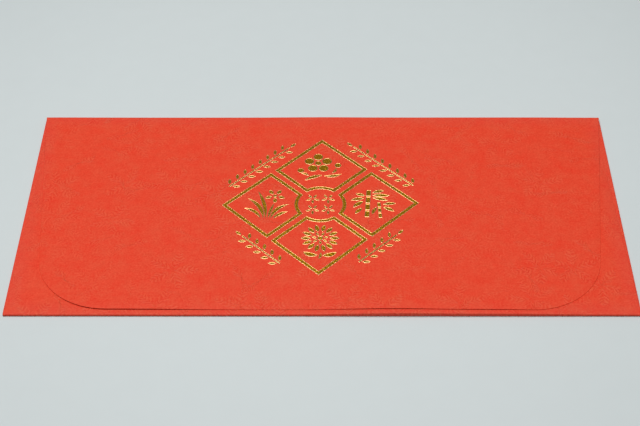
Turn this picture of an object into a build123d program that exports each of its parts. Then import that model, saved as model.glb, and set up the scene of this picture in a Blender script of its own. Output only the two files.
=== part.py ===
from build123d import *
import os
from math import cos, radians, sin, sqrt

# Red paper gift envelope, closed, lying on a table with its deep flap on top.
# One die-cut sheet makes it: the back panel lies flat, two side flaps fold in over it, the pocket panel
# folds up over them and is glued down, and the closing flap folds over everything from the far edge.
# A gold foil stamp sits on the flap: a lozenge of four cells round a small circle, with leafy bands outside.
# Axes: X along the long edges, Y from the pocket fold to the flap fold, Z up from the table.

# Closed envelope, fold to fold
envelope_width = 170.0
envelope_depth = 82.0

# The sheet, and the room between its layers
paper = 0.20
pocket_room = 0.10
glue_film = 0.05
flap_room = 0.25

# Side flaps: the ends are nicked at the two long folds and slant in, more so beside the pocket's mouth
side_flap_width = 15.0
near_slant = 4.0
far_slant = 11.0
near_notch = 0.4
far_notch = 0.5

# Pocket panel, glued over the side flaps
pocket_height = 62.0
pocket_margin = 0.15
pocket_taper = 1.5
pocket_corner = 5.0
glue_margin = 3.0

# Closing flap: narrower towards its free edge, with large round corners
flap_shoulder = 0.15
flap_taper = 8.7
flap_corner = 20.5
flap_short = 2.0

# Gold foil stamp: frame lines. It is struck a little left of the middle, and its lozenge is a shade longer
# along the slant that rises to the right than along the slant that falls to the right.
foil = 0.04
stamp_drop = 39.25
stamp_shift = 0.5
rising_half = 20.35
falling_half = 19.75
cell_gap = 1.6
line_width = 1.07
centre_radius = 6.4

# Gold foil stamp: ornaments
foil_gap = 0.40
ornament_clearance = 0.9
centre_clearance = 1.2
vine_offset = 2.1
vine_height = 4.5
vine_pitch = 2.9
vine_lean = 1.6
vine_stem = 0.50
vine_leaf = 0.95
small_petal = 0.70
far_vine_length = 27.0
near_vine_length = 18.0

# Levels of the layers, each measured to its underside
side_flap_level = paper + pocket_room
pocket_level = side_flap_level + paper + glue_film
flap_level = pocket_level + paper + flap_room
stamp_level = flap_level + paper

# Outer radii of the folds: each goes half round from the back panel to the layer that it carries
side_fold_radius = (side_flap_level + paper) / 2
pocket_fold_radius = (pocket_level + paper) / 2
flap_fold_radius = (flap_level + paper) / 2

# Fold lines: where the flat panels end and the bends begin
side_line = envelope_width / 2 - side_fold_radius
near_line = -envelope_depth / 2 + pocket_fold_radius
far_line = envelope_depth / 2 - flap_fold_radius

UP = (0, 0, 1)
pieces = {}


def panel(outline, level):
    """Flat panel of the sheet, with its underside at the given level."""
    return extrude(Pos(0, 0, level) * outline, paper, dir=UP)


def fold(outer_radius, length):
    """Half-round bend of the sheet along X, bulging to +Y, with its underside on the table."""
    ring = Circle(outer_radius) - Circle(outer_radius - paper)
    outer_half = Pos(outer_radius / 2, 0) * Rectangle(outer_radius, 2 * outer_radius)
    bend = extrude(Plane.YZ * (ring & outer_half), length / 2, both=True)
    return Pos(0, 0, outer_radius) * bend


# Back panel: the plain rectangle between the four fold lines
back_outline = Polygon(
    (-side_line, near_line), (side_line, near_line), (side_line, far_line), (-side_line, far_line)
)
pieces["back_panel"] = panel(back_outline, 0)

# Side flaps and their folds: the flap's ends slant in, so its free edge is shorter than its fold
side_near = near_line + near_notch
side_far = far_line - far_notch
side_length = side_far - side_near
side_middle = (side_far + side_near) / 2
side_free = side_line - side_flap_width
right_flap_outline = Polygon(
    (side_line, side_near),
    (side_line, side_far),
    (side_free, side_far - far_slant),
    (side_free, side_near + near_slant),
)
right_flap = panel(right_flap_outline, side_flap_level)
right_fold = Pos(side_line, side_middle) * Rot(0, 0, -90) * fold(side_fold_radius, side_length)

# Pocket panel and its fold: the fold is as long as the panel is wide at its foot
pocket_foot = envelope_width / 2 - pocket_margin
pocket_top = pocket_foot - pocket_taper
mouth_line = -envelope_depth / 2 + pocket_height
pocket_outline = Polygon(
    (-pocket_foot, near_line), (pocket_foot, near_line), (pocket_top, mouth_line), (-pocket_top, mouth_line)
)
pocket_outline = fillet(pocket_outline.vertices().group_by(Axis.Y)[-1], pocket_corner)
pieces["pocket_fold"] = Pos(0, near_line) * Rot(0, 0, 180) * fold(pocket_fold_radius, 2 * pocket_foot)
pieces["pocket_panel"] = panel(pocket_outline, pocket_level)

# Glue strips: films between the side flaps and the pocket panel, kept in from every edge
glue_near = side_near + near_slant + glue_margin
glue_far = min(mouth_line - pocket_corner, side_far - far_slant) - glue_margin
glue_inner = side_free + glue_margin
glue_outer = min(side_line, pocket_top) - glue_margin
right_glue_outline = Polygon(
    (glue_inner, glue_near), (glue_outer, glue_near), (glue_outer, glue_far), (glue_inner, glue_far)
)
right_glue = extrude(Pos(0, 0, side_flap_level + paper) * right_glue_outline, glue_film, dir=UP)

# The left seam is the right one mirrored
for seam_piece, right_shape in [("fold", right_fold), ("side_flap", right_flap), ("glue_strip", right_glue)]:
    pieces["right_" + seam_piece] = right_shape
    pieces["left_" + seam_piece] = mirror(right_shape, Plane.YZ)

# Closing flap and its fold: straight sides that draw in, then two large round corners
flap_root = envelope_width / 2 - flap_shoulder
flap_end = flap_root - flap_taper
free_line = -envelope_depth / 2 + flap_short
flap_outline = Polygon(
    (-flap_end, free_line), (flap_end, free_line), (flap_root, far_line), (-flap_root, far_line)
)
flap_outline = fillet(flap_outline.vertices().group_by(Axis.Y)[0], flap_corner)
pieces["flap_fold"] = Pos(0, far_line) * fold(flap_fold_radius, 2 * flap_root)
pieces["closing_flap"] = panel(flap_outline, flap_level)


# Foil drawing tools: every ornament is made of separate islands, strokes and dots

PETALS = 5


def polar(radius, bearing):
    """Point at a distance and a bearing in degrees, counted from +X."""
    return (radius * cos(radians(bearing)), radius * sin(radians(bearing)))


def stroke(start, end, bow, width):
    """Brush stroke between two points, pointed at both ends and bowed to its left by the given height."""
    first = Vector(*start)
    last = Vector(*end)
    across = (last - first).normalized().rotate(Axis.Z, 90)
    middle = (first + last) / 2
    left_side = ThreePointArc(first, middle + across * (bow + width / 2), last)
    right_side = ThreePointArc(last, middle + across * (bow - width / 2), first)
    return make_face([left_side, right_side])


def blossom(radius):
    """Five round petals and a core, with the foil gap left between them all."""
    half_turn = sin(radians(180 / PETALS))
    ring_radius = (radius + foil_gap / 2) / (1 + half_turn)
    petal = ring_radius * half_turn - foil_gap / 2
    core = ring_radius - petal - foil_gap
    bearings = [90 + 360 / PETALS * index for index in range(PETALS)]
    petals = [Pos(*polar(ring_radius, bearing)) * Circle(petal) for bearing in bearings]
    return [Circle(core)] + petals


def petal_ring(inner, outer, width, count):
    """Ring of pointed petals that radiate from a centre."""
    bearings = [90 + 360 / count * (index + 0.5) for index in range(count)]
    return [stroke(polar(inner, bearing), polar(outer, bearing), 0, width) for bearing in bearings]


def stamp(islands, across=0, up=0, turn=0):
    """Foil islands laid on the flap, placed from the lozenge's centre."""
    centre = Pos(-stamp_shift, envelope_depth / 2 - stamp_drop, stamp_level)
    place = centre * Pos(across, up) * Rot(0, 0, turn)
    return Compound(children=[extrude(place * island, foil, dir=UP) for island in islands])


def cell_frame(half_width, half_height):
    """Cell of the lozenge: its inner corner is cut by the centre circle, and its lines have an even width."""
    inner = cell_gap / 2
    width = half_width - inner
    height = half_height - inner
    middle = Pos(inner + width / 2, inner + height / 2)
    edge = middle * Rectangle(width, height) - Circle(centre_radius)
    field = middle * Rectangle(width - 2 * line_width, height - 2 * line_width)
    return edge - (field - Circle(centre_radius + line_width))


# Cell frames: each is drawn with its inner corner at the lozenge's centre, then turned to its side
for side, bearing, half_width, half_height in [
    ("right", 0, falling_half, rising_half),
    ("far", 90, rising_half, falling_half),
    ("left", 180, falling_half, rising_half),
    ("near", 270, rising_half, falling_half),
]:
    pieces["foil_cell_" + side] = stamp([cell_frame(half_width, half_height)], turn=bearing - 45)

# Room for an ornament in a cell: the circle that touches the nearer outer line and the centre circle's line.
# The ornaments are drawn in shares of the reach that is left inside it.
field_corner = min(rising_half, falling_half) - line_width
room_middle = (field_corner + centre_radius + line_width) / (1 + sqrt(2))
reach = field_corner - room_middle - ornament_clearance
ornament_shift = room_middle * sqrt(2)


def share(across, up):
    """Point of an ornament, given in shares of the reach."""
    return Vector(across, up) * reach


def drawn(strokes):
    """Strokes of an ornament from their start, end, bow and width, all in shares of the reach."""
    return [
        stroke(share(*start), share(*end), bow * reach, width * reach)
        for start, end, bow, width in strokes
    ]


def moved(islands, place):
    """Islands shifted to another place."""
    return [Pos(place) * island for island in islands]


def stalk(foot, lean, width, joint, count):
    """Jointed bamboo stalk that rises from its foot, leaning to the right by the given degrees."""
    rises = [(index + 0.5) * (joint + foil_gap) for index in range(count)]
    joints = [Rot(0, 0, -lean) * Pos(0, rise) * Rectangle(width, joint) for rise in rises]
    return moved(joints, foot)


# Plum: an open blossom above a forked branch with two buds
plum = drawn([
    ((-0.66, -0.74), (0.08, -0.42), 0.05, 0.18),
    ((0.14, -0.46), (0.90, -0.34), -0.07, 0.16),
    ((-0.50, -0.46), (-0.82, -0.30), -0.05, 0.12),
    ((0.48, -0.28), (0.66, 0.02), -0.05, 0.11),
])
plum_radius = 0.60 * reach
bud = Circle(0.14 * reach)
plum += moved(blossom(plum_radius), share(-0.10, 0.34))
plum += moved([bud], share(0.74, 0.20)) + moved([bud], share(-0.84, -0.12))
pieces["foil_plum_blossom"] = stamp(plum, up=ornament_shift)

# Bamboo: a thick and a thin stalk, with leaves that spring from the joints
bamboo = drawn([
    ((-0.04, 0.68), (0.46, 0.82), 0.02, 0.18),
    ((-0.04, 0.52), (0.68, 0.50), 0.02, 0.19),
    ((-0.04, 0.38), (0.58, 0.22), 0.02, 0.18),
    ((0.38, -0.02), (0.92, 0.04), 0.02, 0.17),
    ((0.38, -0.18), (0.84, -0.44), 0.02, 0.18),
    ((0.12, -0.18), (-0.08, -0.62), -0.02, 0.15),
    ((-0.36, 0.50), (-0.74, 0.62), -0.02, 0.17),
    ((-0.40, 0.34), (-0.94, 0.24), -0.02, 0.18),
    ((-0.42, 0.18), (-0.86, -0.20), -0.02, 0.19),
    ((-0.48, -0.24), (-0.78, -0.58), -0.02, 0.17),
])
bamboo += stalk(share(-0.30, -0.80), lean=4, width=0.19 * reach, joint=0.36 * reach, count=4)
bamboo += stalk(share(0.26, -0.84), lean=-3, width=0.14 * reach, joint=0.26 * reach, count=3)
pieces["foil_bamboo"] = stamp(bamboo, across=ornament_shift)

# Chrysanthemum: two rings of narrow petals round a core, on a short stem with two leaves
chrysanthemum = drawn([
    ((0.02, -0.62), (-0.06, -0.98), 0.03, 0.11),
    ((-0.10, -0.76), (-0.68, -0.58), 0.06, 0.22),
    ((0.08, -0.78), (0.66, -0.60), -0.06, 0.22),
])
many_petals = [Circle(0.11 * reach)]
many_petals += petal_ring(inner=0.15 * reach, outer=0.35 * reach, width=0.11 * reach, count=7)
many_petals += petal_ring(inner=0.38 * reach, outer=0.78 * reach, width=0.18 * reach, count=14)
chrysanthemum += moved(many_petals, share(0, 0.20))
pieces["foil_chrysanthemum"] = stamp(chrysanthemum, up=-ornament_shift)

# Orchid: leaves that rise from one root and droop outwards, and a flower on a thin stem
orchid = drawn([
    ((-0.26, -0.84), (-0.95, -0.24), -0.14, 0.15),
    ((-0.14, -0.84), (-0.82, 0.36), -0.18, 0.17),
    ((-0.04, -0.84), (-0.40, 0.80), -0.10, 0.16),
    ((0.06, -0.84), (0.30, 0.06), 0.03, 0.11),
    ((0.16, -0.84), (0.90, 0.00), 0.16, 0.16),
    ((0.28, -0.86), (0.86, -0.46), 0.08, 0.15),
])
orchid_core = 0.08 * reach
orchid_flower = [Circle(orchid_core)]
orchid_flower += petal_ring(orchid_core + foil_gap, outer=0.42 * reach, width=0.17 * reach, count=PETALS)
orchid += moved(orchid_flower, share(0.32, 0.50))
pieces["foil_orchid"] = stamp(orchid, across=-ornament_shift)

# Four small blossoms, two by two, inside the centre circle
small_blossom = (centre_radius - centre_clearance - foil_gap / sqrt(2)) / (1 + sqrt(2))
small_step = small_blossom + foil_gap / 2
small_petals = petal_ring(foil_gap, small_blossom, small_petal, PETALS)
small_blossoms = []
for across in (-small_step, small_step):
    for up in (-small_step, small_step):
        small_blossoms += [Pos(across, up) * petal for petal in small_petals]
pieces["foil_centre_blossoms"] = stamp(small_blossoms)


def vine(length):
    """Leafy band that grows along X: a straight stem, pairs of slanting leaves and one leaf at its tip."""
    tip_leaf = vine_height / 2
    stem = length - tip_leaf - foil_gap
    count = max(1, round(stem / vine_pitch))
    foot = vine_stem / 2 + foil_gap
    islands = [Pos((stem - length) / 2, 0) * Rectangle(stem, vine_stem)]
    islands.append(stroke((length / 2 - tip_leaf, 0), (length / 2, 0), 0, vine_leaf))
    for index in range(count):
        along = (index + 0.5) * stem / count - length / 2
        for side in (-1, 1):
            leaf_foot = (along - vine_lean / 2, side * foot)
            leaf_tip = (along + vine_lean / 2, side * vine_height / 2)
            islands.append(stroke(leaf_foot, leaf_tip, 0, vine_leaf))
    return islands


# Leafy bands along the four sides of the lozenge, longer on the far sides, all growing towards the far edge
for side, bearing, turn, half, length in [
    ("far_left", 135, 45, falling_half, far_vine_length),
    ("far_right", 45, 135, rising_half, far_vine_length),
    ("near_left", 225, 135, rising_half, near_vine_length),
    ("near_right", 315, 45, falling_half, near_vine_length),
]:
    across, up = polar(half + vine_offset + vine_height / 2, bearing)
    pieces["foil_vine_" + side] = stamp(vine(length), across, up, turn)

os.makedirs("parts", exist_ok=True)
for node, shape in pieces.items():
    shape.label = node
    export_step(shape, f"parts/{node}.step")
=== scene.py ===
from math import atan2, ceil, cos, exp, pi, radians, sin, tan

import bmesh
import bpy
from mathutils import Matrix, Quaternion, Vector
from mathutils.bvhtree import BVHTree


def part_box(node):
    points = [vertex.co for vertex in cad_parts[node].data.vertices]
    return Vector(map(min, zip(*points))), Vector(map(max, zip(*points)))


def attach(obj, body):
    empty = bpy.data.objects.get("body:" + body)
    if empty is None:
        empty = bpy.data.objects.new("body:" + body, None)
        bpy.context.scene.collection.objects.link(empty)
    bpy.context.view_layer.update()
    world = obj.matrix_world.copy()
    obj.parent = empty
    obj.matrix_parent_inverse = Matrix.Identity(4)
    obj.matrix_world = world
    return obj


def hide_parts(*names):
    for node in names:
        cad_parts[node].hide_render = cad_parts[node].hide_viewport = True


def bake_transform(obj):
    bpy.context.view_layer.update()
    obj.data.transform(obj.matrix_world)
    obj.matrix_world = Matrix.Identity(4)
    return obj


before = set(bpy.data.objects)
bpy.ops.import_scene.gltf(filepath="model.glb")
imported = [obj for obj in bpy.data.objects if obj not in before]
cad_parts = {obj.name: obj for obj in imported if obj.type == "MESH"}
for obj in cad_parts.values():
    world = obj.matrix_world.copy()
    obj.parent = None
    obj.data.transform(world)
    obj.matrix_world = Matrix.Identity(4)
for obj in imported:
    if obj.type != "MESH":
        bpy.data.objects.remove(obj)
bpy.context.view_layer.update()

# Camera: it looks down over the near long edge from about 40 cm away, with a lens of moderate length.
# Its place, turn and tilt are those that put the envelope's four edges where the photograph has them.
millimetre = 0.001
camera_lens = 78.83
camera_distance = 401.5 * millimetre
camera_target = Vector((-0.61, -0.89, 0)) * millimetre
camera_pitch = radians(43.33)
camera_turn = radians(-0.45)
camera_roll = radians(-0.32)
sight = Vector((
    sin(camera_turn) * cos(camera_pitch),
    cos(camera_turn) * cos(camera_pitch),
    -sin(camera_pitch),
))
camera = bpy.data.objects.new("camera", bpy.data.cameras.new("camera"))
camera.data.lens = camera_lens
camera.data.sensor_width = 36
camera.data.clip_start = 10 * millimetre
camera.location = camera_target - sight * camera_distance
camera.rotation_mode = "QUATERNION"
camera.rotation_quaternion = Quaternion(sight, -camera_roll) @ sight.to_track_quat("-Z", "Y")
bpy.context.scene.collection.objects.link(camera)
bpy.context.scene.camera = camera
bpy.context.scene.view_settings.view_transform = "Standard"


# Table top and light: a smooth pale grey board under the envelope, with painted shade darkening it away
# from a spot near the envelope's far edge; one soft round lamp overhead and a little to the left, and a
# dim room, paler towards the horizon and darker behind the camera.
table_grey = (0.640, 0.685, 0.685)
table_shade_edge = 0.90
table_lit_spot = (0, 0.04, 0)
table_shade_start = 0.06
table_shade_full = 0.20
table_cloud_scale = 160
table_speck_depth = 0.015
table_size = 8
table_drop = 0.02 * millimetre
lamp_place = Vector((-0.07, -0.03, 0.745))
lamp_width = 0.76
lamp_power = 5.7
room_horizon = (0.46, 0.50, 0.50, 1)
room_above = (0.215, 0.235, 0.24, 1)
room_turn = 0.42
room_behind = 0.3
room_dim_from = -0.6
room_full_from = 0.5


def put(tree, kind, inputs=(), **options):
    """Adds a node with its options, and sets or links its inputs."""
    node = tree.nodes.new("ShaderNode" + kind)
    for option, value in options.items():
        setattr(node, option, value)
    for socket, value in dict(inputs).items():
        if isinstance(value, bpy.types.NodeSocket):
            tree.links.new(value, node.inputs[socket])
        else:
            node.inputs[socket].default_value = value
    return node


def reckon(tree, operation, *values):
    """Output of a Math node on numbers or other nodes' outputs."""
    return put(tree, "Math", enumerate(values), operation=operation).outputs["Value"]


def new_material(name, settings):
    """Material with a Principled shader that has the given plain settings."""
    material = bpy.data.materials.new(name)
    material.use_nodes = True
    shader = material.node_tree.nodes["Principled BSDF"]
    for socket, value in settings.items():
        shader.inputs[socket].default_value = value
    return material, material.node_tree, shader


def new_object(name, work, material):
    """Object made from a finished bmesh."""
    mesh = bpy.data.meshes.new(name)
    work.to_mesh(mesh)
    work.free()
    mesh.materials.append(material)
    made = bpy.data.objects.new(name, mesh)
    bpy.context.scene.collection.objects.link(made)
    return made


table_finish, table_tree, table_shader = new_material("table_grey", {"Roughness": 0.6})
table_spot = put(table_tree, "TexCoord").outputs["Object"]
table_lit_distance = put(
    table_tree, "VectorMath", {0: table_spot, 1: table_lit_spot}, operation="DISTANCE"
).outputs["Value"]
# Painted shade: the board's grey is darkened further from the lit spot, as the light falls off towards
# the corners
table_painted_shade = put(
    table_tree,
    "MapRange",
    {
        "Value": table_lit_distance,
        "From Min": table_shade_start,
        "From Max": table_shade_full,
        "To Min": 1.0,
        "To Max": table_shade_edge,
    },
    interpolation_type="SMOOTHSTEP",
).outputs["Result"]
table_cloud = put(
    table_tree, "TexNoise", {"Vector": table_spot, "Scale": table_cloud_scale, "Detail": 4}
).outputs["Fac"]
table_speck = put(
    table_tree,
    "MapRange",
    {"Value": table_cloud, "To Min": 1 - table_speck_depth, "To Max": 1 + table_speck_depth},
).outputs["Result"]
table_colour = put(
    table_tree,
    "VectorMath",
    {0: table_grey, "Scale": reckon(table_tree, "MULTIPLY", table_painted_shade, table_speck)},
    operation="SCALE",
)
table_tree.links.new(table_colour.outputs["Vector"], table_shader.inputs["Base Color"])
board = bmesh.new()
bmesh.ops.create_grid(board, x_segments=1, y_segments=1, size=table_size / 2)
bmesh.ops.translate(board, verts=board.verts, vec=(0, 0, -table_drop))
table_top = new_object("table_top", board, table_finish)

lamp = bpy.data.objects.new("soft_lamp", bpy.data.lights.new("soft_lamp", "AREA"))
lamp.data.shape = "DISK"
lamp.data.size = lamp_width
lamp.data.energy = lamp_power
lamp.location = lamp_place
lamp.rotation_mode = "QUATERNION"
lamp.rotation_quaternion = (-lamp_place).to_track_quat("-Z", "Y")
bpy.context.scene.collection.objects.link(lamp)

bpy.context.scene.world = bpy.data.worlds.new("dim_room")
bpy.context.scene.world.use_nodes = True
room = bpy.context.scene.world.node_tree
room_direction = put(room, "TexCoord").outputs["Generated"]
room_axes = put(room, "SeparateXYZ", {"Vector": room_direction}).outputs
room_shade = put(room, "ValToRGB", {"Fac": room_axes["Z"]})
room_shade.color_ramp.elements[0].color = room_horizon
room_shade.color_ramp.elements[1].color = room_above
room_shade.color_ramp.elements[1].position = room_turn
room_share = put(
    room,
    "MapRange",
    {
        "Value": room_axes["Y"],
        "From Min": room_dim_from,
        "From Max": room_full_from,
        "To Min": room_behind,
    },
    interpolation_type="SMOOTHSTEP",
)
room.links.new(room_shade.outputs["Color"], room.nodes["Background"].inputs["Color"])
room.links.new(room_share.outputs["Result"], room.nodes["Background"].inputs["Strength"])


# Red paper: one sheet of stout paper dyed red right through, embossed with faint sprays of veined leaves
# and blossoms before it was cut. Every paper piece shares it, and reads its place on the flat sheet.
paper_red = (0.848, 0.073, 0.0225)
paper_deep = (0.764, 0.029, 0.0010)
dull_shift = (-0.013, 0.0205, 0.0095)
# Painted shade by the creases: the colour shift added to the paper near them
crease_shade_shift = (-0.032, 0.0060, 0.0090)
crease_shade_reach = 7.0
side_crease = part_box("right_fold")[1].x
far_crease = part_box("flap_fold")[1].y
crease_places = [size / millimetre for size in (side_crease, far_crease, 0)]
felt_size = 0.55
fleck_size = 1.5
mottle_size = 4.5
spray_spacing = 16.0
spray_petals = 5
leaf_spacing = 12.0
leaf_petals = 2
leaf_shift = (41, 17, 0)
emboss_depth = 0.036 * millimetre
felt_depth = 0.040 * millimetre
# Painted shade of the emboss: how much darker the paper is painted between the raised veins
vein_shade_strength = -0.55
fleck_tone = 1.2
felt_tone = 2.2
leaf_dulling = 0.4
mottle_dulling = 2.8
fleck_dulling = 1.5


def node_group(name, inputs, outputs):
    """New shader node group: its tree, its inputs and its outputs."""
    group = bpy.data.node_groups.new(name, "ShaderNodeTree")
    for way, sockets in (("INPUT", inputs), ("OUTPUT", outputs)):
        for socket, kind in sockets.items():
            group.interface.new_socket(socket, in_out=way, socket_type="NodeSocket" + kind)
    group_in = group.nodes.new("NodeGroupInput")
    group_out = group.nodes.new("NodeGroupOutput")
    return group, group_in.outputs, group_out.inputs


def use_group(tree, group, inputs):
    """Places a node group in a tree and gives its outputs."""
    return put(tree, "Group", inputs, node_tree=group).outputs


# Veined petals round scattered centres; lengths are shares of the spacing between the centres
petal_middle = 0.27
petal_half_length = 0.24
petal_half_width = 0.12
petal_edge = 0.05
petal_scatter = 0.85
petal_faintest = 0.3
vein_count = 13
vein_slant = 0.9
rib_width = 0.014
rib_strength = 0.3
waver_scale = 0.45
waver_reach = 2.4
veined_petals, petal_in, petal_out = node_group(
    "veined_petals",
    {"Vector": "Vector", "Spacing": "Float", "Petals": "Float"},
    {"Leaf": "Float", "Veins": "Float"},
)
petal_scale = reckon(veined_petals, "DIVIDE", 1.0, petal_in["Spacing"])
petal_waver = put(
    veined_petals, "TexNoise", {"Vector": petal_in["Vector"], "Scale": waver_scale, "Detail": 4}
)
petal_spot = put(
    veined_petals,
    "VectorMath",
    {0: petal_waver.outputs["Color"], 1: (waver_reach,) * 3, 2: petal_in["Vector"]},
    operation="MULTIPLY_ADD",
).outputs["Vector"]
petal_cells = put(
    veined_petals,
    "TexVoronoi",
    {"Vector": petal_spot, "Scale": petal_scale, "Randomness": petal_scatter},
    voronoi_dimensions="2D",
)
petal_offset = put(
    veined_petals,
    "VectorMath",
    {0: petal_spot, 1: petal_cells.outputs["Position"]},
    operation="SUBTRACT",
)
petal_place = put(
    veined_petals,
    "VectorMath",
    {0: petal_offset.outputs["Vector"], "Scale": petal_scale},
    operation="SCALE",
)
petal_xy = put(veined_petals, "SeparateXYZ", {"Vector": petal_place.outputs["Vector"]}).outputs
petal_chances = put(veined_petals, "SeparateColor", {"Color": petal_cells.outputs["Color"]}).outputs
petal_bearing = reckon(
    veined_petals,
    "MULTIPLY_ADD",
    petal_chances["Red"],
    2 * pi,
    reckon(veined_petals, "ARCTAN2", petal_xy["Y"], petal_xy["X"]),
)
petal_swing = reckon(
    veined_petals, "PINGPONG", petal_bearing, reckon(veined_petals, "DIVIDE", pi, petal_in["Petals"])
)
petal_radius = put(
    veined_petals, "VectorMath", {0: petal_place.outputs["Vector"]}, operation="LENGTH"
).outputs["Value"]
petal_along = reckon(
    veined_petals, "MULTIPLY", petal_radius, reckon(veined_petals, "COSINE", petal_swing)
)
petal_across = reckon(
    veined_petals, "MULTIPLY", petal_radius, reckon(veined_petals, "SINE", petal_swing)
)
petal_from_middle = reckon(veined_petals, "SUBTRACT", petal_along, petal_middle)
petal_share = reckon(veined_petals, "DIVIDE", petal_from_middle, petal_half_length)
petal_bulge = reckon(
    veined_petals,
    "MULTIPLY_ADD",
    reckon(veined_petals, "MULTIPLY", petal_share, petal_share),
    -petal_half_width,
    petal_half_width,
)
petal_inside = put(
    veined_petals,
    "MapRange",
    {"Value": reckon(veined_petals, "SUBTRACT", petal_bulge, petal_across), "From Max": petal_edge},
    interpolation_type="SMOOTHSTEP",
).outputs["Result"]
petal_rib = put(
    veined_petals,
    "MapRange",
    {"Value": petal_across, "From Max": rib_width, "To Min": rib_strength},
    interpolation_type="SMOOTHSTEP",
).outputs["Result"]
vein_phase = reckon(veined_petals, "MULTIPLY_ADD", petal_across, -vein_slant, petal_along)
vein_turns = reckon(veined_petals, "MULTIPLY", vein_phase, 2 * pi * vein_count)
vein_wave = reckon(veined_petals, "SINE", vein_turns)
petal_strength = reckon(
    veined_petals, "MULTIPLY_ADD", petal_chances["Green"], 1 - petal_faintest, petal_faintest
)
petal_field = reckon(
    veined_petals, "MULTIPLY", reckon(veined_petals, "MULTIPLY", petal_inside, petal_rib), petal_strength
)
petal_veins = reckon(veined_petals, "MULTIPLY", petal_field, vein_wave)
veined_petals.links.new(petal_field, petal_out["Leaf"])
veined_petals.links.new(petal_veins, petal_out["Veins"])

# Felt: the fine uneven surface that the paper machine leaves, which the foil takes over as well
felt_grain, felt_in, felt_out = node_group(
    "felt_grain", {"Vector": "Vector", "Size": "Float"}, {"Height": "Float"}
)
felt_scale = reckon(felt_grain, "DIVIDE", 1.0, felt_in["Size"])
felt_noise = put(
    felt_grain,
    "TexNoise",
    {"Vector": felt_in["Vector"], "Scale": felt_scale, "Detail": 3, "Roughness": 0.6},
)
felt_grain.links.new(felt_noise.outputs["Fac"], felt_out["Height"])

red_paper, paper_tree, paper_shader = new_material(
    "red_paper", {"Roughness": 0.58, "Specular IOR Level": 0.35}
)
sheet_place = put(paper_tree, "UVMap", uv_map="sheet").outputs["UV"]
leaf_place = put(
    paper_tree, "Mapping", {"Vector": sheet_place, "Location": leaf_shift}
).outputs["Vector"]
sprays = use_group(
    paper_tree,
    veined_petals,
    {"Vector": sheet_place, "Spacing": spray_spacing, "Petals": spray_petals},
)
leaves = use_group(
    paper_tree,
    veined_petals,
    {"Vector": leaf_place, "Spacing": leaf_spacing, "Petals": leaf_petals},
)
leaf = reckon(paper_tree, "MAXIMUM", sprays["Leaf"], leaves["Leaf"])
veins = reckon(paper_tree, "ADD", sprays["Veins"], leaves["Veins"])
emboss = reckon(paper_tree, "ADD", leaf, veins)
felt = use_group(paper_tree, felt_grain, {"Vector": sheet_place, "Size": felt_size})
fleck = use_group(paper_tree, felt_grain, {"Vector": sheet_place, "Size": fleck_size})
mottle = use_group(paper_tree, felt_grain, {"Vector": sheet_place, "Size": mottle_size})


def uneven(start, parts):
    """Start value with several uneven heights added, each at its own strength."""
    total = start
    for height, strength in parts:
        centred = reckon(paper_tree, "SUBTRACT", height["Height"], 0.5)
        total = reckon(paper_tree, "MULTIPLY_ADD", centred, strength, total)
    return total


# Painted shade and light: the paper is painted lighter on the raised veins and darker between them, as
# the emboss is lit; the leaves are a little duller than the ground
vein_shading = reckon(paper_tree, "MULTIPLY_ADD", veins, vein_shade_strength, 0.5)
vein_shade_and_grain = uneven(vein_shading, ((fleck, fleck_tone), (felt, felt_tone)))
leaf_start = reckon(paper_tree, "MULTIPLY", leaf, leaf_dulling)
dulled = uneven(leaf_start, ((mottle, mottle_dulling), (fleck, fleck_dulling)))
paper_colour = put(
    paper_tree,
    "Mix",
    {"Factor": vein_shade_and_grain, "A": (*paper_red, 1), "B": (*paper_deep, 1)},
    data_type="RGBA",
)
paper_dulled = put(
    paper_tree,
    "VectorMath",
    {0: dull_shift, 1: dulled, 2: paper_colour.outputs[2]},
    operation="MULTIPLY_ADD",
)
# Painted shade: the paper is painted darker and a little duller within a few millimetres of its creases
# and short edges
from_middle = put(paper_tree, "VectorMath", {0: sheet_place}, operation="ABSOLUTE")
from_creases = put(
    paper_tree,
    "VectorMath",
    {0: from_middle.outputs["Vector"], 1: crease_places},
    operation="SUBTRACT",
)
off_creases = put(paper_tree, "VectorMath", {0: from_creases.outputs["Vector"]}, operation="ABSOLUTE")
crease_axes = put(paper_tree, "SeparateXYZ", {"Vector": off_creases.outputs["Vector"]}).outputs
crease_shade = put(
    paper_tree,
    "MapRange",
    {
        "Value": reckon(paper_tree, "MINIMUM", crease_axes["X"], crease_axes["Y"]),
        "From Max": crease_shade_reach,
        "To Min": 1.0,
        "To Max": 0.0,
    },
    interpolation_type="SMOOTHSTEP",
).outputs["Result"]
paper_crease_shaded = put(
    paper_tree,
    "VectorMath",
    {0: crease_shade_shift, 1: crease_shade, 2: paper_dulled.outputs["Vector"]},
    operation="MULTIPLY_ADD",
)
paper_tree.links.new(paper_crease_shaded.outputs["Vector"], paper_shader.inputs["Base Color"])
emboss_bump = put(paper_tree, "Bump", {"Height": emboss, "Distance": emboss_depth})
felt_bump = put(
    paper_tree,
    "Bump",
    {"Height": felt["Height"], "Distance": felt_depth, "Normal": emboss_bump.outputs["Normal"]},
)
paper_tree.links.new(felt_bump.outputs["Normal"], paper_shader.inputs["Normal"])


# Back panel: the large plain panel that lies on the table, part of the one sheet.
# It isn't quite flat: it rides up off the table in two places, and all the layers on it follow.
bend_step = 4 * millimetre
sharp_turn = radians(40)
join_reach = 0.001 * millimetre
hair = 0.0001 * millimetre
flat_turn = radians(0.5)
# Each swell: place, height and spread, in millimetres
envelope_lifts = [(-85, 41, 0.13, 22, 30), (0, 41, 0.13, 13, 18)]


def merged_copy(node):
    """Bmesh copy of a node, with its loose triangles joined into whole faces."""
    work = bmesh.new()
    work.from_mesh(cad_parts[node].data)
    bmesh.ops.remove_doubles(work, verts=work.verts, dist=join_reach)
    bmesh.ops.dissolve_limit(work, angle_limit=flat_turn, verts=work.verts, edges=work.edges)
    return work


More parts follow.
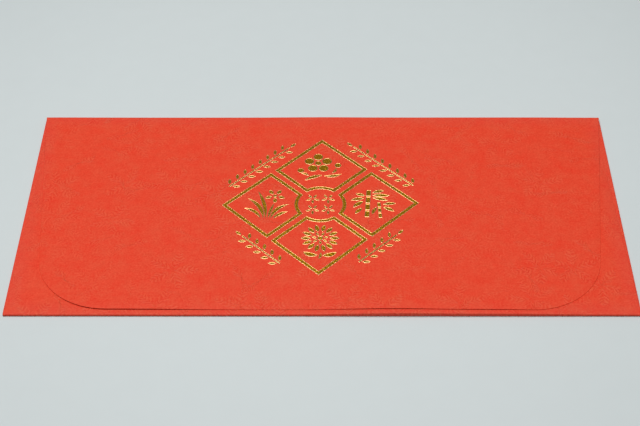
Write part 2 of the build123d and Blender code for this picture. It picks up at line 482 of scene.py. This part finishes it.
def cut_to_bend(work):
    """Cuts a mesh on the same lines as every other layer, so that they can bend together."""
    for axis in (0, 1):
        across = Vector((axis == 0, axis == 1, 0))
        low = min(vert.co[axis] for vert in work.verts)
        high = max(vert.co[axis] for vert in work.verts)
        for line in range(ceil(low / bend_step), ceil(high / bend_step)):
            bmesh.ops.bisect_plane(
                work,
                geom=[*work.verts, *work.edges, *work.faces],
                dist=hair,
                plane_co=across * line * bend_step,
                plane_no=across,
            )


# A puff lifts only what lies above the back panel, and the pocket panel and the flap in full
puff_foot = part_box("back_panel")[1].z
puff_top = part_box("pocket_panel")[0].z


def swell_height(place, swells):
    """How far the swells lift a place on the envelope."""
    x = place.x / millimetre
    y = place.y / millimetre
    lifts = [
        height * exp(-(((x - middle_x) / spread_x) ** 2) - ((y - middle_y) / spread_y) ** 2)
        for middle_x, middle_y, height, spread_x, spread_y in swells
    ]
    return sum(lifts) * millimetre


def lay_down(work, puffs=(), sharp=sharp_turn):
    """Bends a mesh over the lifts and puffs, and rounds its shading except at its sharp edges."""
    for vert in work.verts:
        puffed = min(1, max(0, (vert.co.z - puff_foot) / (puff_top - puff_foot)))
        vert.co.z += swell_height(vert.co, envelope_lifts) + puffed * swell_height(vert.co, puffs)
    for face in work.faces:
        face.smooth = True
    for edge in work.edges:
        edge.smooth = edge.calc_face_angle(0) < sharp


def write_flat_place(work, flat_place):
    """Keeps each corner's place on the flat sheet, in millimetres, in the piece's UV map."""
    layer = work.loops.layers.uv.new("sheet")
    for face in work.faces:
        for corner in face.loops:
            corner[layer].uv = flat_place(corner.vert.co).xy / millimetre


back_work = merged_copy("back_panel")
cut_to_bend(back_work)
write_flat_place(back_work, lambda place: place)
lay_down(back_work)
back_sheet = new_object("back_sheet", back_work, red_paper)
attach(back_sheet, "pocket")
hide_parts("back_panel")


# Side flaps: narrow tongues of the same sheet, folded in over the back panel along its short edges.
# Each is one piece with its fold, which turns half round from the back panel up to the flap.
fold_steps = 12
cut_round = 0.13 * millimetre
cut_round_steps = 3
root_facing = 0.999
top_facing = 0.9


def folded_sheet(panel, fold, bulge, puffs=(), recut=None, thinned=None):
    """Panel of the sheet whose root is carried half round its fold, down to the back panel.

    A panel may be cut askew, recut giving each place anew, and thinned by a height at each place.
    """
    work = merged_copy(panel)
    if recut:
        for vert in work.verts:
            vert.co = recut(vert.co)
    outward = Vector(bulge)
    low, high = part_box(fold)
    root = [face for face in work.faces if face.normal.dot(outward) > root_facing]
    axis_place = root[0].calc_center_median()
    axis_place.z = (low.z + high.z) / 2
    sheet_radius = abs(root[0].calc_center_median().z - axis_place.z)
    cut_edges = [
        edge
        for edge in work.edges
        if edge not in root[0].edges[:]
        and any(face.normal.z > top_facing for face in edge.link_faces)
    ]
    bmesh.ops.bevel(
        work,
        geom=cut_edges,
        offset=cut_round,
        segments=cut_round_steps,
        profile=0.5,
        affect="EDGES",
        material=-1,
    )
    root = [face for face in work.faces if face.normal.dot(outward) > root_facing]
    bmesh.ops.spin(
        work,
        geom=[*root, *root[0].edges, *root[0].verts],
        cent=axis_place,
        axis=Vector((0, 0, 1)).cross(outward),
        angle=pi,
        steps=fold_steps,
    )
    bmesh.ops.recalc_face_normals(work, faces=work.faces)
    cut_to_bend(work)
    if thinned:
        under, over = [corner.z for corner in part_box(panel)]
        for vert in work.verts:
            if vert.co.z > under:
                vert.co.z -= thinned(vert.co) * (vert.co.z - under) / (over - under)

    def flat_place(place):
        """Place on the sheet before it was folded, measured outwards from the back panel's edge."""
        beyond = (place - axis_place).dot(outward)
        along = place - outward * beyond
        if beyond > 0:
            turned = atan2(beyond, axis_place.z - place.z)
            return along + outward * sheet_radius * turned
        return along + outward * (sheet_radius * pi - beyond)

    write_flat_place(work, flat_place)
    lay_down(work, puffs)
    return work


for side, bulge in (("left", (-1, 0, 0)), ("right", (1, 0, 0))):
    side_work = folded_sheet(side + "_side_flap", side + "_fold", bulge)
    side_sheet = new_object(side + "_side_sheet", side_work, red_paper)
    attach(side_sheet, "pocket")
    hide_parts(side + "_side_flap", side + "_fold")


# Glue: a thin dried film on each side flap, which holds the pocket panel down.
# It is a milky white paste that was rolled on, so it is a little streaky and has a dull shine.
glue_white = (0.74, 0.68, 0.58)
glue_streak = (0.62, 0.50, 0.42)
glue_streak_scale = (900, 60, 900)
glue_depth = 0.01 * millimetre
dried_glue, glue_tree, glue_shader = new_material("dried_glue", {"Roughness": 0.38})
glue_spot = put(glue_tree, "TexCoord").outputs["Object"]
glue_stretch = put(
    glue_tree, "Mapping", {"Vector": glue_spot, "Scale": glue_streak_scale}
).outputs["Vector"]
glue_noise = put(
    glue_tree, "TexNoise", {"Vector": glue_stretch, "Scale": 1, "Detail": 2}
).outputs["Fac"]
glue_colour = put(
    glue_tree,
    "Mix",
    {"Factor": glue_noise, "A": (*glue_white, 1), "B": (*glue_streak, 1)},
    data_type="RGBA",
)
glue_tree.links.new(glue_colour.outputs[2], glue_shader.inputs["Base Color"])
glue_bump = put(glue_tree, "Bump", {"Height": glue_noise, "Distance": glue_depth})
glue_tree.links.new(glue_bump.outputs["Normal"], glue_shader.inputs["Normal"])
for side in ("left", "right"):
    glue_work = merged_copy(side + "_glue_strip")
    cut_to_bend(glue_work)
    lay_down(glue_work)
    glue_film = new_object(side + "_glue_film", glue_work, dried_glue)
    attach(glue_film, "pocket")
    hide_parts(side + "_glue_strip")


# Pocket panel: folded up over the side flaps from the near long edge and glued to them.
# Its fold is creased less sharply right of the middle, and its far edge, the mouth, stands open a little.
fold_puffs = [(20, -41, 0.55, 17, 16), (50, -41, 0.32, 18, 16)]
mouth_puffs = [(0, 21, 0.10, 45, 14)]
pocket_work = folded_sheet("pocket_panel", "pocket_fold", (0, -1, 0), fold_puffs + mouth_puffs)
pocket_sheet = new_object("pocket_sheet", pocket_work, red_paper)
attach(pocket_sheet, "pocket")
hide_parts("pocket_panel", "pocket_fold")


# Closing flap: the deep last panel of the sheet, with round corners and cut a little askew. It folds over
# from the far edge and covers the pocket. It isn't stuck down, so its free edge stands off in places, and
# elsewhere its thin edge hardly shows.
flap_puffs = fold_puffs + [
    (0, -41, -0.23, 220, 46),
    (-8, -39, -0.02, 12, 8),
    (-54, -38, 0.275, 22, 14),
    (17, -39, 0.20, 16, 12),
    (45, -39, 0.135, 10.5, 10),
    (-83, 2, -0.135, 12, 30),
    (-77, -28, -0.04, 8, 10),
    (81, 2, -0.13, 13, 26),
    (72, -29, -0.02, 10, 12),
    (84, 32, -0.36, 12, 8),
]
fold_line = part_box("flap_fold")[0].y
free_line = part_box("closing_flap")[0].y
flap_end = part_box("flap_fold")[1].x
right_draw = 1.95 * millimetre
free_drop = 0.37 * millimetre
free_skew = 0.30 * millimetre
flap_thinner = 0.07 * millimetre
thin_run = 9.0 * millimetre


def cut_askew(place):
    """Place on a flap that draws in further on the right, where its free edge also reaches nearer."""
    down = (fold_line - place.y) / (fold_line - free_line)
    across = place.x / flap_end
    drawn_in = right_draw * max(0, across) * down
    let_out = (free_drop + free_skew * across) * down
    return place - Vector((drawn_in, let_out, 0))


def drawn_thin(place):
    """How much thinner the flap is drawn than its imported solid, from nothing at the fold."""
    along = min(1, max(0, (fold_line - place.y) / thin_run))
    return flap_thinner * along * along * (3 - 2 * along)


flap_work = folded_sheet("closing_flap", "flap_fold", (0, 1, 0), flap_puffs, cut_askew, drawn_thin)
closing_sheet = new_object("closing_sheet", flap_work, red_paper)
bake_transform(closing_sheet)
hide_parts("closing_flap", "flap_fold")


# Gold stamp: bright foil pressed into the flap with a hot die, one piece for each frame, flower or band.
# The die leaves a low ridge round every stroke, and the foil takes on the paper's own grain.
gold = (0.88, 0.415, 0.012)
# Painted highlight: each stroke's ridge is painted a paler, creamier gold than the rest of the foil
gold_highlight = (0.92, 0.68, 0.38)
gold_worn = 0.74
worn_from = 0.55
worn_to = 0.8
rim_width = 0.15 * millimetre
rim_slope = tan(radians(16))
foil_floor = 0.012 * millimetre
rim_share = 0.42
rim_highlight_foot = 0.4
rim_sharp = radians(11)
corner_limit = 0.5
wall_tilt = 0.1
grain_size = 0.45
grain_depth = 0.105 * millimetre
gold_foil, gold_tree, gold_shader = new_material("gold_foil", {"Metallic": 1.0, "Roughness": 0.2})
gold_spot = put(gold_tree, "TexCoord").outputs["Object"]
gold_place = put(
    gold_tree, "Mapping", {"Vector": gold_spot, "Scale": (1 / millimetre,) * 3}
).outputs["Vector"]
gold_grain = use_group(gold_tree, felt_grain, {"Vector": gold_place, "Size": grain_size})["Height"]
gold_wear = put(
    gold_tree,
    "MapRange",
    {
        "Value": gold_grain,
        "From Min": worn_from,
        "From Max": worn_to,
        "To Min": 1.0,
        "To Max": gold_worn,
    },
).outputs["Result"]
rim_highlight_mask = put(gold_tree, "Attribute", attribute_name="rim").outputs["Fac"]
gold_colour = put(
    gold_tree, "Mix", {"Factor": rim_highlight_mask, "A": (*gold, 1), "B": (*gold_highlight, 1)}, data_type="RGBA"
)
gold_dulled = put(
    gold_tree, "VectorMath", {0: gold_colour.outputs[2], "Scale": gold_wear}, operation="SCALE"
)
gold_tree.links.new(gold_dulled.outputs["Vector"], gold_shader.inputs["Base Color"])
gold_bump = put(gold_tree, "Bump", {"Height": gold_grain, "Distance": grain_depth})
gold_tree.links.new(gold_bump.outputs["Normal"], gold_shader.inputs["Normal"])


def pressed_foil(node):
    """Copy of a foil node with a low ridge, sloping both ways, along the rim of each stroke."""
    work = merged_copy(node)
    rim = work.verts.layers.float.new("rim")
    walls = BVHTree.FromBMesh(work)
    paper_level = min(vert.co.z for vert in work.verts)
    faces = [face for face in work.faces if face.normal.z > top_facing]
    for ring in range(2):
        bmesh.ops.inset_region(work, faces=faces, thickness=hair, use_boundary=True)
    floor = {vert for face in faces for vert in face.verts}
    crest = {edge.other_vert(vert) for vert in floor for edge in vert.link_edges} - floor
    for ridge in crest:
        beside = [edge.other_vert(ridge) for edge in ridge.link_edges]
        inner = next(vert for vert in beside if vert in floor)
        outer = next(vert for vert in beside if vert not in floor and vert not in crest)
        outward = [face.normal for face in outer.link_faces if abs(face.normal.z) < wall_tilt]
        inward = -sum(outward, Vector()).normalized()
        evenness = max(corner_limit, -inward.dot(outward[0]))
        foot = Vector((outer.co.x, outer.co.y, paper_level + foil_floor))
        room_across = walls.ray_cast(foot + inward * join_reach, inward)[3] or rim_width
        reach = min(rim_width / evenness, rim_share * room_across)
        ridge.co = outer.co + inward * reach / 2
        ridge.co.z = paper_level + foil_floor + rim_slope * reach / 2
        inner.co = outer.co + inward * reach
        inner.co.z = paper_level + foil_floor
        outer.co.z = paper_level + foil_floor
        # Painted highlight: the ridge takes the paler gold in full, its outer foot in part
        outer[rim] = rim_highlight_foot
        ridge[rim] = 1
    cut_to_bend(work)
    for vert in work.verts:
        vert.co.z -= drawn_thin(vert.co)
    lay_down(work, flap_puffs, rim_sharp)
    return work


for node in [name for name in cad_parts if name.startswith("foil_")]:
    gold_piece = new_object(node.replace("foil", "gold"), pressed_foil(node), gold_foil)
    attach(gold_piece, "flap")
    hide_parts(node)
